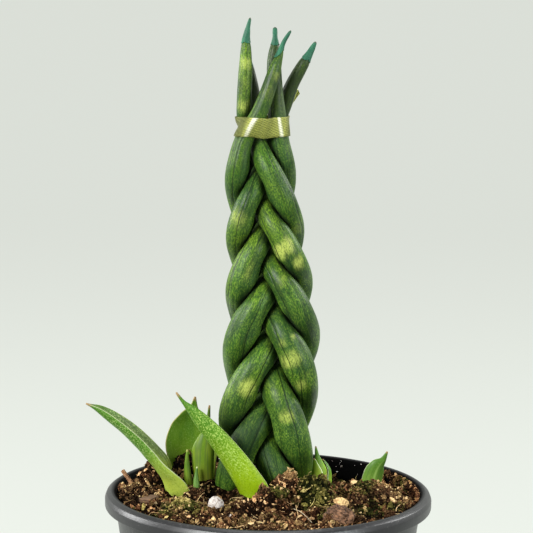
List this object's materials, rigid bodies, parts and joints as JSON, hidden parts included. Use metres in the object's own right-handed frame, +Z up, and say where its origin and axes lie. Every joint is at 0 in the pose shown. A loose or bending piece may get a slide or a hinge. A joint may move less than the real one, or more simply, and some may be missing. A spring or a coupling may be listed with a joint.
{
  "type": "cylindrical snake plant",
  "caption": "Braided cylindrical snake plant with wax-dipped tips, a satin ribbon tie and young pups, growing in potting mix in a round nursery pot.",
  "frame": {"origin": "centre of the pot's flat underside", "axes": "+Z up the plant, -Y towards the front of the flat braid, +X to its right"},
  "size_m": [0.1692, 0.16, 0.3746],
  "materials": {
    "pot_plastic": "black moulded plastic with a soft sheen",
    "potting_mix": "crumbly peat, bark and coir",
    "rhizome": "ochre underground stem and roots",
    "braid_leaf": "waxy dark green leaf with pale bands and speckles",
    "teal_wax": "matt teal wax",
    "satin_ribbon": "yellow-green satin",
    "pup_leaf": "fresh green leaf with pale speckles",
    "bud_leaf": "pale green young leaf with light margins",
    "perlite": "chalky white",
    "bark": "rough bark and wood chips"
  },
  "bodies": {
    "root": {"nursery_pot": "pot_plastic", "potting_mix": "potting_mix", "rhizome": "rhizome", "braid_leaf_1": "braid_leaf", "braid_leaf_2": "braid_leaf", "braid_leaf_3": "braid_leaf", "braid_leaf_4": "braid_leaf", "braid_leaf_5": "braid_leaf", "wax_tip_1": "teal_wax", "wax_tip_2": "teal_wax", "wax_tip_3": "teal_wax", "wax_tip_4": "teal_wax", "wax_tip_5": "teal_wax", "ribbon_tie": "satin_ribbon", "left_pup_leaf": "pup_leaf", "front_pup_leaf": "pup_leaf", "broad_pup_leaf": "pup_leaf", "yellow_pup_leaf": "pup_leaf", "centre_bud_front_scale": "bud_leaf", "centre_bud_back_scale": "bud_leaf", "right_bud_scale": "bud_leaf", "left_pup_spear": "bud_leaf", "small_pup_spear": "bud_leaf", "centre_bud_heart": "bud_leaf", "right_bud_heart": "bud_leaf", "perlite_ball": "perlite", "perlite_grain": "perlite", "bark_chip_tan": "bark", "bark_chip_red": "bark", "bark_chip_left": "bark", "bark_chip_back": "bark", "wood_sliver": "bark", "peat_clod_front": "potting_mix", "peat_clod_right": "potting_mix", "peat_clod_left": "potting_mix", "orange_stick": "bark"}
  },
  "joints": []
}
